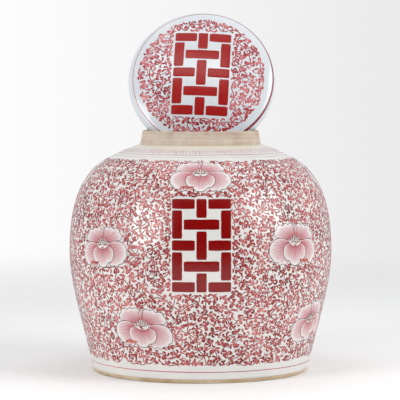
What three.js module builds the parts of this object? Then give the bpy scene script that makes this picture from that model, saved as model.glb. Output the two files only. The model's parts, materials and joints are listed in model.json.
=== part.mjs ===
// A porcelain ginger jar with its cap lid stood on edge in the mouth, millimetres, +Z up.
// The jar is four luted and fired sections: foot ring, lower wall, shoulder and neck collar.
// The lid is a domed cap with a turned-down skirt that fits over the collar when it is closed.
// The origin is the centre of the circle that the foot ring stands on.
import * as THREE from 'three';

// facets round every turned piece, and steps along a long stretch of its profile
const SEGMENTS = 60;
const LONG_STEPS = 12;
const SHORT_STEPS = 4;

// jar, as radius and height on the outside
const FOOT_EDGE_RADIUS = 105.2;
const FOOT_RADIUS = 108.7;
const FOOT_HEIGHT = 6;
const FOOT_BEVEL_RADIUS = 108.1;
const FOOT_BEVEL_HEIGHT = 3.4;
const FOOT_INNER_RADIUS = 92;
const BELLY_RADIUS = 131;
const BELLY_HEIGHT = 120;
const NECK_SEAT_RADIUS = 62;
const NECK_SEAT_HEIGHT = 226;

// collar and mouth
const COLLAR_FOOT_RADIUS = 60.6;
const COLLAR_WAIST_RADIUS = 58.9;
const RIM_RADIUS = 58.2;
const RIM_HEIGHT = 240;
const RIM_ROUND = 1.1;
const MOUTH_RADIUS = 54.6;
const MOUTH_ROUND = 0.8;

// clay thickness
const WALL = 6;
const FLOOR = 7;
const FLOOR_FILLET = 11.5;
const FOOT_WALL = 7.7;
const THROAT_DEPTH = 4.5;

// slopes of the wall in degrees, and how far each end of a curve keeps to its slope
const FOOT_SLOPE = 79;
const SHOULDER_SLOPE = 22;
const FOOT_REACH = 34;
const BELLY_REACH_DOWN = 36;
const BELLY_REACH_UP = 84;
const SHOULDER_REACH = 36;

// lid, as radius and height above its widest circle
const LID_RADIUS = 73.7;
const SHOULDER_RISE = 5.5;
const DOME_EDGE_RADIUS = 66.5;
const DOME_EDGE_HEIGHT = 9.3;
const DOME_HEIGHT = 18.6;
const DOME_SLOPE = 16;
const LID_WALL = 5.2;
const SKIRT_RADIUS = 70.6;
const SKIRT_DEPTH = 14;
const SKIRT_EDGE_WALL = 4.2;
const SKIRT_ROUND = 1.2;
const SKIRT_GAP = 0.3;

// the lid's resting place: its widest circle's centre, how far it leans back and how far it is turned
const LID_CENTRE = new THREE.Vector3(1.3, 12, 288.4);
const LID_LEAN = 22.8;
const LID_TURN = -2.2;

const glaze = { color: 0xdfe6e8, roughness: 0.12, metalness: 0 };
const biscuit = { color: 0xc8b79c, roughness: 0.8, metalness: 0 };

const point = (radius, height) => new THREE.Vector2(radius, height);

// a point a given distance from another, along a slope in degrees
function along(start, slope, distance) {
  const angle = THREE.MathUtils.degToRad(slope);
  return point(start.x + distance * Math.cos(angle), start.y + distance * Math.sin(angle));
}

function curve(start, startHandle, endHandle, end, steps) {
  return new THREE.CubicBezierCurve(start, startHandle, endHandle, end).getPoints(steps);
}

// a rounded corner between two points
function rounded(start, corner, end) {
  return new THREE.QuadraticBezierCurve(start, corner, end).getPoints(3);
}

// a cap of a sphere from its apex on the axis out to its edge
function cap(apexHeight, edge, steps) {
  const rise = apexHeight - edge.y;
  const radius = (edge.x * edge.x + rise * rise) / (2 * rise);
  const halfAngle = Math.asin(edge.x / radius);
  const points = [];
  for (let step = 0; step <= steps; step++) {
    const angle = (halfAngle * step) / steps;
    points.push(point(radius * Math.sin(angle), apexHeight - radius * (1 - Math.cos(angle))));
  }
  return points;
}

// turns a profile round the +Z axis; the profile goes up the outside and comes back down the inside
function turned(name, profile, finish) {
  const points = profile.filter((p, i) => i === 0 || p.distanceTo(profile[i - 1]) > 1e-6);
  if (points[0].x > 0) points.push(points[0].clone());
  const geometry = new THREE.LatheGeometry(points, SEGMENTS);
  geometry.rotateX(Math.PI / 2);
  const mesh = new THREE.Mesh(geometry, new THREE.MeshStandardMaterial(finish));
  mesh.name = name;
  return mesh;
}

// bare ring that the jar stands on, bevelled on the outside where the glaze was wiped off
function footRing() {
  const inset = 1.5;
  const stand = [point(FOOT_INNER_RADIUS + inset, 0), point(FOOT_EDGE_RADIUS, 0)];
  const outside = [point(FOOT_BEVEL_RADIUS, FOOT_BEVEL_HEIGHT), point(FOOT_RADIUS, FOOT_HEIGHT)];
  const inside = [point(FOOT_INNER_RADIUS, FOOT_HEIGHT), point(FOOT_INNER_RADIUS, inset)];
  return turned('foot_ring', [...stand, ...outside, ...inside], biscuit);
}

// floor and lower wall, up to the widest circle, where the two halves of the jar are luted
function lowerSection() {
  const foot = point(FOOT_RADIUS, FOOT_HEIGHT);
  const belly = point(BELLY_RADIUS, BELLY_HEIGHT);
  const belowBelly = point(BELLY_RADIUS, BELLY_HEIGHT - BELLY_REACH_DOWN);
  const outside = curve(foot, along(foot, FOOT_SLOPE, FOOT_REACH), belowBelly, belly, LONG_STEPS - 2);

  const floorHeight = FOOT_HEIGHT + FLOOR;
  const floorCorner = along(foot, FOOT_SLOPE, FLOOR).setY(floorHeight);
  floorCorner.x -= FOOT_WALL;
  const wallFoot = along(floorCorner, FOOT_SLOPE, FLOOR_FILLET);
  const innerBelly = point(BELLY_RADIUS - WALL, BELLY_HEIGHT);
  const belowInnerBelly = point(innerBelly.x, belowBelly.y);
  const wallRise = along(wallFoot, FOOT_SLOPE, FOOT_REACH - FLOOR);
  const inside = curve(innerBelly, belowInnerBelly, wallRise, wallFoot, LONG_STEPS - 4);
  const fillet = rounded(wallFoot, floorCorner, point(floorCorner.x - FLOOR_FILLET, floorHeight));

  const underside = [point(0, FOOT_HEIGHT), point(FOOT_INNER_RADIUS, FOOT_HEIGHT)];
  const floor = [point(0, floorHeight)];
  return turned('jar_lower_section', [...underside, ...outside, ...inside, ...fillet, ...floor], glaze);
}

// upper wall and shoulder, from the widest circle to the seat of the collar
function upperSection() {
  const belly = point(BELLY_RADIUS, BELLY_HEIGHT);
  const aboveBelly = point(BELLY_RADIUS, BELLY_HEIGHT + BELLY_REACH_UP);
  const seat = point(NECK_SEAT_RADIUS, NECK_SEAT_HEIGHT);
  const shoulder = along(seat, -SHOULDER_SLOPE, SHOULDER_REACH);
  const outside = curve(belly, aboveBelly, shoulder, seat, LONG_STEPS + 2);

  const innerBelly = point(BELLY_RADIUS - WALL, BELLY_HEIGHT);
  const aboveInnerBelly = point(innerBelly.x, aboveBelly.y - WALL / 2);
  const throat = point(MOUTH_RADIUS, NECK_SEAT_HEIGHT - THROAT_DEPTH);
  const innerShoulder = along(throat, -SHOULDER_SLOPE, SHOULDER_REACH + WALL / 2);
  const inside = curve(throat, innerShoulder, aboveInnerBelly, innerBelly, LONG_STEPS - 1);
  const mouth = [point(MOUTH_RADIUS, NECK_SEAT_HEIGHT)];
  return turned('jar_upper_section', [...outside, ...mouth, ...inside], glaze);
}

// bare upright collar round the mouth, which the lid's skirt fits over
function neckCollar() {
  const foot = point(COLLAR_FOOT_RADIUS, NECK_SEAT_HEIGHT);
  const top = point(RIM_RADIUS, RIM_HEIGHT - RIM_ROUND);
  const waist = point(COLLAR_WAIST_RADIUS, (NECK_SEAT_HEIGHT + RIM_HEIGHT) / 2);
  const outside = new THREE.QuadraticBezierCurve(foot, waist, top).getPoints(SHORT_STEPS);
  const rim = point(RIM_RADIUS, RIM_HEIGHT);
  const outerLip = rounded(top, rim, point(RIM_RADIUS - RIM_ROUND, RIM_HEIGHT));
  const lip = point(MOUTH_RADIUS, RIM_HEIGHT);
  const lipBottom = point(MOUTH_RADIUS, RIM_HEIGHT - MOUTH_ROUND);
  const innerLip = rounded(point(MOUTH_RADIUS + MOUTH_ROUND, RIM_HEIGHT), lip, lipBottom);
  const inside = [point(MOUTH_RADIUS, NECK_SEAT_HEIGHT)];
  return turned('neck_collar', [...outside, ...outerLip, ...innerLip, ...inside], biscuit);
}

// shallow dome of the lid with its rounded shoulder, down to the widest circle
function lidDome() {
  const widest = point(LID_RADIUS, 0);
  const edge = point(DOME_EDGE_RADIUS, DOME_EDGE_HEIGHT);
  const shoulderTop = along(edge, -DOME_SLOPE, SHOULDER_RISE);
  const shoulder = curve(widest, point(LID_RADIUS, SHOULDER_RISE), shoulderTop, edge, SHORT_STEPS + 2);
  const outerCap = cap(DOME_HEIGHT, edge, SHORT_STEPS + 1).reverse();

  const innerWidest = point(LID_RADIUS - LID_WALL, 0);
  const innerEdge = point(DOME_EDGE_RADIUS - 0.8 * LID_WALL, DOME_EDGE_HEIGHT - 0.85 * LID_WALL);
  const innerCap = cap(DOME_HEIGHT - LID_WALL, innerEdge, SHORT_STEPS);
  const innerTop = along(innerEdge, -DOME_SLOPE, SHOULDER_RISE - 1);
  const innerRise = point(innerWidest.x, SHOULDER_RISE / 2);
  const innerShoulder = curve(innerEdge, innerTop, innerRise, innerWidest, SHORT_STEPS);
  return turned('lid_dome', [...shoulder, ...outerCap, ...innerCap, ...innerShoulder], glaze);
}

// skirt turned down from the dome, with a rounded bare edge
function lidSkirt() {
  const top = point(LID_RADIUS, -SKIRT_GAP);
  const edge = point(SKIRT_RADIUS, SKIRT_ROUND - SKIRT_DEPTH);
  const edgeCorner = point(SKIRT_RADIUS, -SKIRT_DEPTH);
  const outerRound = rounded(point(SKIRT_RADIUS - SKIRT_ROUND, -SKIRT_DEPTH), edgeCorner, edge);
  const flare = (LID_RADIUS - SKIRT_RADIUS) / 2;
  const aboveEdge = point(SKIRT_RADIUS + flare, (top.y + 2 * edge.y) / 3);
  const belowTop = point(LID_RADIUS, (2 * top.y + edge.y) / 3);
  const outside = curve(edge, aboveEdge, belowTop, top, SHORT_STEPS);

  const innerCorner = point(SKIRT_RADIUS - SKIRT_EDGE_WALL, -SKIRT_DEPTH);
  const innerEdge = point(innerCorner.x, edge.y);
  const inside = [point(LID_RADIUS - LID_WALL, -SKIRT_GAP)];
  const innerRound = rounded(innerEdge, innerCorner, point(innerCorner.x + SKIRT_ROUND, -SKIRT_DEPTH));
  return turned('lid_skirt', [...outerRound, ...outside, ...inside, ...innerRound], glaze);
}

const jar = new THREE.Group();
jar.add(footRing(), lowerSection(), upperSection(), neckCollar());

const lid = new THREE.Group();
lid.add(lidDome(), lidSkirt());
lid.position.copy(LID_CENTRE);
const tilt = THREE.MathUtils.degToRad(90 - LID_LEAN);
lid.rotation.set(tilt, 0, THREE.MathUtils.degToRad(LID_TURN), 'ZYX');

const gingerJar = new THREE.Group();
gingerJar.add(jar, lid);

export default gingerJar;
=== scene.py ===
import json
import math

import bpy
import numpy as np
from mathutils import Matrix, Vector

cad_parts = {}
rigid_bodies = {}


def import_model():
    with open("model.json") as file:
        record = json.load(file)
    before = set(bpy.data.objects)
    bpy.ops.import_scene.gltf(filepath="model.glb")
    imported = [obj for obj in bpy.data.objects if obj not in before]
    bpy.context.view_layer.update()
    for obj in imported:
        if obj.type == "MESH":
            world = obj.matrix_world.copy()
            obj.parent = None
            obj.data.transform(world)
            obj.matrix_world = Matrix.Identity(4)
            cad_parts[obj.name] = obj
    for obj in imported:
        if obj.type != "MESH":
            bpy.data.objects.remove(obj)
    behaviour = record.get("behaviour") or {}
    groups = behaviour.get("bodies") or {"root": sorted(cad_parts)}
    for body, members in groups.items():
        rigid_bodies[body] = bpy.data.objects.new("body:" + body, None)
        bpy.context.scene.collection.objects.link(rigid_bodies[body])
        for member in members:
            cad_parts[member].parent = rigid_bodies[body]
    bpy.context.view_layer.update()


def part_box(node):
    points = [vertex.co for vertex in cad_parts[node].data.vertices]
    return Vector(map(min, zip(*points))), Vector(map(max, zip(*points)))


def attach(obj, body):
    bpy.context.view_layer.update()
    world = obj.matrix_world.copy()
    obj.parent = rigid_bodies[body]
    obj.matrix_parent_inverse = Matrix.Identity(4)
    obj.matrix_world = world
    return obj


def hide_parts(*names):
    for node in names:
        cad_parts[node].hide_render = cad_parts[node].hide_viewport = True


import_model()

MM = 0.001


# ---------------------------------------------------------------------------------------------
# Camera, floor and studio light. A long lens stands back from the jar, a little above its
# shoulder. Soft boxes stand left, right and above, and the side the camera is on stays dark, so
# that the glaze is deep in the middle and pale at its sides.
# ---------------------------------------------------------------------------------------------
CAMERA_DISTANCE = 2.164
CAMERA_HEIGHT = 0.300
AIM_HEIGHT = 0.170
AIM_SIDE = -0.0005
VIEW_WIDTH = 0.400
SENSOR = 36.0
SOFTBOXES = {
    # name: (place, width, height, watts)
    "left_softbox": ((-1.28, -1.15, 0.62), 0.8, 0.95, 14.0),
    "right_softbox": ((1.53, -0.80, 0.95), 1.1, 1.3, 20.0),
    "top_softbox": ((0.0, 0.0, 1.9), 1.8, 1.4, 5.2),
    "front_fill": ((-0.30, -1.30, 1.90), 1.5, 0.45, 5.0),
}
FLOOR_SIZE = 6.0
FLOOR_FADE = (0.45, 1.5)


def linear(hex_colour):
    """An sRGB hex colour as the linear RGBA that a shader socket takes."""
    value = hex_colour.lstrip("#")
    channels = [int(value[i:i + 2], 16) / 255 for i in (0, 2, 4)]
    return [c / 12.92 if c <= 0.04045 else ((c + 0.055) / 1.055) ** 2.4 for c in channels] + [1.0]


def add_node(tree, kind, settings=None, stops=(), **links):
    """Adds a node. A word after a colon in its kind is its operation, and stops are a ramp's places and
    colours. Each keyword names an input, as its name or in_ and its number, and gives a value or a socket."""
    kind, _, operation = kind.partition(":")
    node = tree.nodes.new(kind)
    for name, value in {**({"operation": operation} if operation else {}), **(settings or {})}.items():
        setattr(node, name, value)
    for _ in stops[2:]:
        node.color_ramp.elements.new(1.0)
    for (place, colour), element in zip(stops, node.color_ramp.elements if stops else ()):
        element.position, element.color = place, linear(colour)
    for name, value in links.items():
        socket = node.inputs[int(name[3:])] if name.startswith("in_") else node.inputs[name.replace("_", " ")]
        if isinstance(value, bpy.types.NodeSocket):
            tree.links.new(value, socket)
        else:
            socket.default_value = linear(value) if str(value).startswith("#") else value
    return node


def placed(name, data):
    """A new object in the scene."""
    holder = bpy.data.objects.new(name, data)
    bpy.context.collection.objects.link(holder)
    return holder


def softbox(name, place, width, height, watts):
    lamp = bpy.data.lights.new(name, "AREA")
    lamp.shape = "RECTANGLE"
    lamp.size, lamp.size_y, lamp.energy = width, height, watts
    holder = placed(name, lamp)
    holder.location = place
    towards_jar = Vector((0, 0, AIM_HEIGHT)) - Vector(place)
    holder.rotation_euler = towards_jar.to_track_quat("-Z", "Y").to_euler()


for name, (place, width, height, watts) in SOFTBOXES.items():
    softbox(name, place, width, height, watts)

camera = placed("camera", bpy.data.cameras.new("camera"))
camera.location = (AIM_SIDE, -CAMERA_DISTANCE, CAMERA_HEIGHT)
view_line = Vector((AIM_SIDE, 0, AIM_HEIGHT)) - camera.location
camera.rotation_euler = view_line.to_track_quat("-Z", "Y").to_euler()
camera.data.sensor_width = SENSOR
camera.data.lens = SENSOR * CAMERA_DISTANCE / VIEW_WIDTH
bpy.context.scene.camera = camera
bpy.context.scene.view_settings.view_transform = "Standard"

world = bpy.data.worlds.new("studio")
bpy.context.scene.world = world
world.use_nodes = True
sky = world.node_tree
sky.nodes.clear()
towards = add_node(sky, "ShaderNodeTexCoord").outputs["Generated"]
way = add_node(sky, "ShaderNodeSeparateXYZ", Vector=towards).outputs
# Painted shade: the white backdrop that the camera sees is painted darker towards the right, where the studio
# backdrop lies in shade.
painted_backdrop_shade = add_node(sky, "ShaderNodeMapRange", Value=way["X"], From_Min=-0.10, From_Max=0.10, To_Min=0.99,
                To_Max=0.82)
seen = add_node(sky, "ShaderNodeBackground", Color="#FFFFFF", Strength=painted_backdrop_shade.outputs[0])
depth = add_node(sky, "ShaderNodeMapRange", {"interpolation_type": "SMOOTHSTEP"}, Value=way["Y"],
                 From_Min=-0.95, From_Max=0.25, To_Min=0.02, To_Max=0.76)
lit = add_node(sky, "ShaderNodeBackground", Color="#FBFCFF", Strength=depth.outputs[0])
is_camera = add_node(sky, "ShaderNodeLightPath").outputs["Is Camera Ray"]
both = add_node(sky, "ShaderNodeMixShader", in_0=is_camera, in_1=lit.outputs[0], in_2=seen.outputs[0])
add_node(sky, "ShaderNodeOutputWorld", Surface=both.outputs[0])


def new_material(name):
    """A new material, its empty tree, and the place on the piece that its patterns follow."""
    made = bpy.data.materials.new(name)
    made.use_nodes = True
    made.node_tree.nodes.clear()
    return made, made.node_tree, add_node(made.node_tree, "ShaderNodeTexCoord").outputs["Object"]


def pattern_scale(size):
    """The scale of a pattern whose grains are so many millimetres across."""
    return 1 / (size * MM)


def floor_paper():
    """Matt white paper that fades into the white of the studio away from the jar."""
    paper, tree, spot = new_material("white_paper")
    distance = add_node(tree, "ShaderNodeVectorMath:LENGTH", in_0=spot).outputs["Value"]
    start, end = FLOOR_FADE
    shown = add_node(tree, "ShaderNodeMapRange", {"interpolation_type": "SMOOTHSTEP"},
                     Value=distance, From_Min=start, From_Max=end, To_Min=1.0, To_Max=0.0)
    grain = add_node(tree, "ShaderNodeTexNoise", Vector=spot, Scale=pattern_scale(1.7), Detail=2.0)
    tint = add_node(tree, "ShaderNodeMix", {"data_type": "RGBA"}, Factor=grain.outputs["Fac"],
                    in_6="#F6F6F5", in_7="#FBFBFA")
    surface = add_node(tree, "ShaderNodeBsdfPrincipled", Base_Color=tint.outputs[2], Roughness=0.9,
                       Specular_IOR_Level=0.1, Alpha=shown.outputs[0])
    add_node(tree, "ShaderNodeOutputMaterial", Surface=surface.outputs[0])
    return paper


corner = FLOOR_SIZE / 2
floor_mesh = bpy.data.meshes.new("floor")
floor_mesh.from_pydata([(-corner, -corner, 0), (corner, -corner, 0), (corner, corner, 0),
                        (-corner, corner, 0)],
                       [], [(0, 1, 2, 3)])
floor = placed("floor", floor_mesh)
floor.data.materials.append(floor_paper())


# ---------------------------------------------------------------------------------------------
# Glazed wall of the jar. White porcelain, thrown as a lower and an upper half that are luted at
# the belly, and dipped in a clear glaze inside and out. The glaze ends in a rolled edge above the
# bare foot and keeps the faint waves of the throwing.
# ---------------------------------------------------------------------------------------------
foot_high, half_high, seat_high = (Vector(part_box(name)[1]) / MM
                                   for name in ("foot_ring", "jar_lower_section", "jar_upper_section"))

FOOT_RADIUS = foot_high.x
FOOT_TOP = foot_high.z
FOOT_HOLLOW_RADIUS = 92.0
GLAZE_EDGE_HEIGHT = 4.2
BELLY_RADIUS = half_high.x
BELLY_HEIGHT = half_high.z
SEAT_HEIGHT = seat_high.z
SEAT_RADIUS = 62.0
MOUTH_RADIUS = 54.6
WALL = 6.0
FLOOR_TOP = 13.0
FOOT_SLOPE = math.radians(79)
SHOULDER_SLOPE = math.radians(22)
CREAM_ABOVE = 222.6
WALL_FACETS = 264
WALL_WAVER = 0.35
WALL_WAVER_SIZE = 110


def cubic(start, leave, arrive, end, steps):
    """Points along a cubic curve of radius and height, without its start."""
    t = np.linspace(0, 1, steps + 1)[1:, None]
    ends = (1 - t) ** 3 * np.array(start) + t ** 3 * np.array(end)
    return ends + 3 * (1 - t) ** 2 * t * np.array(leave) + 3 * (1 - t) * t ** 2 * np.array(arrive)


def leaving(start, angle, reach):
    """The handle a given reach from a point, along an angle above the horizontal."""
    return start[0] + reach * math.cos(angle), start[1] + reach * math.sin(angle)


class Outline:
    """The outline of a turned surface, in millimetres of radius and height, measured by its arc length."""

    def __init__(self, points):
        self.points = np.array(points, float)
        steps = np.hypot(*np.diff(self.points, axis=0).T)
        self.lengths = np.concatenate([[0.0], np.cumsum(steps)])

    def radius(self, along):
        return np.interp(along, self.lengths, self.points[:, 0])

    def at_height(self, height):
        return float(np.interp(height, self.points[:, 1], self.lengths))

    def curve_object(self, name):
        """The outline as a curve in the XZ plane, in metres, for a node tree to read."""
        curve = bpy.data.curves.new(name, "CURVE")
        curve.dimensions = "3D"
        spline = curve.splines.new("POLY")
        spline.points.add(len(self.points) - 1)
        rows = [(r * MM, 0.0, z * MM, 1.0) for r, z in self.points]
        spline.points.foreach_set("co", np.array(rows).ravel())
        return placed(name, curve)


def tree_on_outline(name, **inputs):
    """A Geometry Nodes tree with the named inputs, what enters it, and the outline that it works along."""
    tree = bpy.data.node_groups.new(name, "GeometryNodeTree")
    tree.interface.new_socket("Geometry", in_out="INPUT", socket_type="NodeSocketGeometry")
    shared = {"Outline": "Object", "Waver": "Float", "Scale": "Float", "Finish": "Material"}
    for label, kind in {**shared, **inputs}.items():
        tree.interface.new_socket(label, in_out="INPUT", socket_type="NodeSocket" + kind)
    tree.interface.new_socket("Geometry", in_out="OUTPUT", socket_type="NodeSocketGeometry")
    given = tree.nodes.new("NodeGroupInput").outputs
    return tree, given, add_node(tree, "GeometryNodeObjectInfo", Object=given["Outline"]).outputs["Geometry"]


def end_tree(tree, mesh, finish):
    """Ends a tree in Realize Instances and Set Material."""
    solid = add_node(tree, "GeometryNodeRealizeInstances", Geometry=mesh)
    painted = add_node(tree, "GeometryNodeSetMaterial", Geometry=solid.outputs[0], Material=finish)
    add_node(tree, "NodeGroupOutput", in_0=painted.outputs[0])
    return tree


def grown(name, tree, mesh, outline, **inputs):
    """A piece that a tree makes from a mesh along an outline, as a plain mesh. Each keyword sets an input."""
    inputs["Outline"] = outline.curve_object(name + "_outline")
    holder = placed(name, mesh)
    modifier = holder.modifiers.new(name, "NODES")
    modifier.node_group = tree
    for item in tree.interface.items_tree:
        if item.in_out == "INPUT" and item.name in inputs:
            modifier[item.identifier] = inputs[item.name]
    evaluated = holder.evaluated_get(bpy.context.evaluated_depsgraph_get())
    plain = bpy.data.meshes.new_from_object(evaluated)
    holder.modifiers.remove(modifier)
    holder.data = plain
    bpy.data.objects.remove(inputs["Outline"])
    return holder


def wavered(tree, place, radius, outward, given):
    """The offset that gives a turned wall the slight waver of a hand-thrown pot, and nothing at its axis."""
    noise = add_node(tree, "ShaderNodeTexNoise", Vector=place, Scale=given["Scale"], Detail=1.0).outputs[0]
    swing = add_node(tree, "ShaderNodeMath:SUBTRACT", in_0=noise, in_1=0.5).outputs[0]
    push = add_node(tree, "ShaderNodeMath:MULTIPLY", in_0=swing, in_1=given["Waver"]).outputs[0]
    off_axis = add_node(tree, "ShaderNodeMapRange", Value=radius, From_Max=20 * MM).outputs[0]
    size = add_node(tree, "ShaderNodeMath:MULTIPLY", in_0=push, in_1=off_axis).outputs[0]
    return add_node(tree, "ShaderNodeVectorMath:SCALE", in_0=outward, Scale=size).outputs[0]


def throwing_tree():
    """Turns an outline round the +Z axis, and gives the wall the slight waver of a hand-thrown pot."""
    tree, given, outline = tree_on_outline("throw_wall", Facets="Int", Points="Int")
    around = add_node(tree, "ShaderNodeMath:ADD", in_0=given["Facets"], in_1=1).outputs[0]
    grid = add_node(tree, "GeometryNodeMeshGrid", Size_X=1.0, Size_Y=1.0, Vertices_X=around,
                    Vertices_Y=given["Points"])
    place = add_node(tree, "GeometryNodeInputPosition").outputs[0]
    parts = add_node(tree, "ShaderNodeSeparateXYZ", Vector=place).outputs
    angle = add_node(tree, "ShaderNodeMapRange", Value=parts["X"], From_Min=-0.5, From_Max=0.5,
                     To_Min=-math.pi / 2, To_Max=1.5 * math.pi).outputs[0]
    last = add_node(tree, "ShaderNodeMath:SUBTRACT", in_0=given["Points"], in_1=1).outputs[0]
    row = add_node(tree, "ShaderNodeMapRange", Value=parts["Y"], From_Min=-0.5, From_Max=0.5,
                   To_Max=last).outputs[0]
    row_number = add_node(tree, "FunctionNodeFloatToInt", {"rounding_mode": "ROUND"}, in_0=row).outputs[0]
    sample = add_node(tree, "GeometryNodeSampleIndex", {"data_type": "FLOAT_VECTOR", "domain": "POINT"},
                      Geometry=outline, Value=place, Index=row_number).outputs[0]
    radius = add_node(tree, "ShaderNodeSeparateXYZ", Vector=sample).outputs["X"]
    on_wall, outward = (add_node(tree, "ShaderNodeVectorRotate", {"rotation_type": "Z_AXIS"}, Vector=way,
                                 Angle=angle).outputs[0] for way in (sample, (1, 0, 0)))
    offset = wavered(tree, on_wall, radius, outward, given)
    wall = add_node(tree, "GeometryNodeSetPosition", Geometry=grid.outputs["Mesh"], Position=on_wall,
                    Offset=offset)
    joined = add_node(tree, "GeometryNodeMergeByDistance", Geometry=wall.outputs[0], Distance=0.002 * MM)
    smooth = add_node(tree, "GeometryNodeSetShadeSmooth", Geometry=joined.outputs[0])
    return end_tree(tree, smooth.outputs[0], given["Finish"])


throw_wall = throwing_tree()


def turned(name, outline, finish, facets=WALL_FACETS, waver=0.0, waver_size=WALL_WAVER_SIZE):
    """A closed turned piece. Its outline starts and ends on the axis, or closes on itself."""
    return grown(name, throw_wall, bpy.data.meshes.new(name), outline, Facets=facets,
                 Points=len(outline.points),
                 Waver=waver * MM, Scale=pattern_scale(waver_size), Finish=finish)


def porcelain_glaze(name, body_colour, pool_colour, thin_above):
    """Clear glaze over white porcelain: hard, wet-looking, faintly blue where it lies thick, with a slight
    ripple left by the throwing and a few pinholes. Above a height it is thin and the clay shows cream."""
    glaze, tree, spot = new_material(name)
    clouds = add_node(tree, "ShaderNodeTexNoise", Vector=spot, Scale=pattern_scale(45), Detail=3.0,
                      Roughness=0.6)
    depth = add_node(tree, "ShaderNodeMapRange", Value=clouds.outputs["Fac"], From_Min=0.3, From_Max=0.7)
    tint = add_node(tree, "ShaderNodeMix", {"data_type": "RGBA"}, Factor=depth.outputs[0],
                    in_6=body_colour, in_7=pool_colour)
    level = add_node(tree, "ShaderNodeSeparateXYZ", Vector=spot).outputs["Z"]
    thin = add_node(tree, "ShaderNodeMapRange", Value=level, From_Min=thin_above * MM,
                    From_Max=(thin_above + 1.2) * MM)
    cream = add_node(tree, "ShaderNodeMix", {"data_type": "RGBA"}, Factor=thin.outputs[0],
                     in_6=tint.outputs[2], in_7="#DDD6C6")
    grit = add_node(tree, "ShaderNodeTexVoronoi", {"feature": "DISTANCE_TO_EDGE"}, Vector=spot,
                    Scale=pattern_scale(1.4))
    ripple = add_node(tree, "ShaderNodeTexNoise", Vector=spot, Scale=pattern_scale(10.5), Detail=2.0)
    height = add_node(tree, "ShaderNodeMix", Factor=0.12, A=ripple.outputs["Fac"], B=grit.outputs["Distance"])
    bump = add_node(tree, "ShaderNodeBump", Strength=0.10, Distance=0.001, Height=height.outputs[0])
    gloss = add_node(tree, "ShaderNodeMapRange", Value=clouds.outputs["Fac"], To_Min=0.10, To_Max=0.17)
    surface = add_node(tree, "ShaderNodeBsdfPrincipled", Base_Color=cream.outputs[2],
                       Roughness=gloss.outputs[0], Normal=bump.outputs[0], IOR=1.62)
    add_node(tree, "ShaderNodeOutputMaterial", Surface=surface.outputs[0])
    return glaze


foot_point = (FOOT_RADIUS, FOOT_TOP)
belly_point = (BELLY_RADIUS, BELLY_HEIGHT)
seat_point = (SEAT_RADIUS, SEAT_HEIGHT)
lower_curve = cubic(foot_point, leaving(foot_point, FOOT_SLOPE, 34), (BELLY_RADIUS, BELLY_HEIGHT - 36),
                    belly_point, 84)
upper_curve = cubic(belly_point, (BELLY_RADIUS, BELLY_HEIGHT + 84), leaving(seat_point, -SHOULDER_SLOPE, 36),
                    seat_point, 104)
edge_lip = [(108.0, GLAZE_EDGE_HEIGHT), (108.5, GLAZE_EDGE_HEIGHT + 0.3), foot_point]
rolled_edge = [(107.2, 5.0), (107.5, GLAZE_EDGE_HEIGHT + 0.2), (108.0, GLAZE_EDGE_HEIGHT - 0.1),
               *edge_lip[1:]]
outside = Outline([*edge_lip, *lower_curve, *upper_curve])

throat = (MOUTH_RADIUS, SEAT_HEIGHT - 4.5)
inner_belly = (BELLY_RADIUS - WALL, BELLY_HEIGHT)
wall_foot = (104.5, FLOOR_TOP + 11.5)
inner_shoulder = cubic(throat, leaving(throat, -SHOULDER_SLOPE, 39), (inner_belly[0], BELLY_HEIGHT + 81),
                       inner_belly, 40)
inner_wall = cubic(inner_belly, (inner_belly[0], BELLY_HEIGHT - 36), leaving(wall_foot, FOOT_SLOPE, 27),
                   wall_foot, 34)
inner_foot = cubic(wall_foot, (103.3, FLOOR_TOP + 4), (99, FLOOR_TOP), (90, FLOOR_TOP), 10)
underside = [(radius, FOOT_TOP) for radius in (0, 30, 60, FOOT_HOLLOW_RADIUS, 106.5)]
mouth_top = [(SEAT_RADIUS - 1.4, SEAT_HEIGHT + 0.3), (MOUTH_RADIUS + 1, SEAT_HEIGHT + 0.3),
             (MOUTH_RADIUS, SEAT_HEIGHT - 0.6)]
floor_line = [(60, FLOOR_TOP - 0.2), (30, FLOOR_TOP - 0.3), (0, FLOOR_TOP - 0.3)]
whole_wall = Outline([*underside, *rolled_edge, *lower_curve, *upper_curve, *mouth_top, throat,
                      *inner_shoulder,
                      *inner_wall, *inner_foot, *floor_line])
jar_glaze = porcelain_glaze("clear_glaze_on_porcelain", "#E4E1DC", "#DADAD8", CREAM_ABOVE)
glazed_wall = turned("jar_glazed_wall", whole_wall, jar_glaze, waver=WALL_WAVER)
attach(glazed_wall, "jar")
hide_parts("jar_lower_section", "jar_upper_section")


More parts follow.
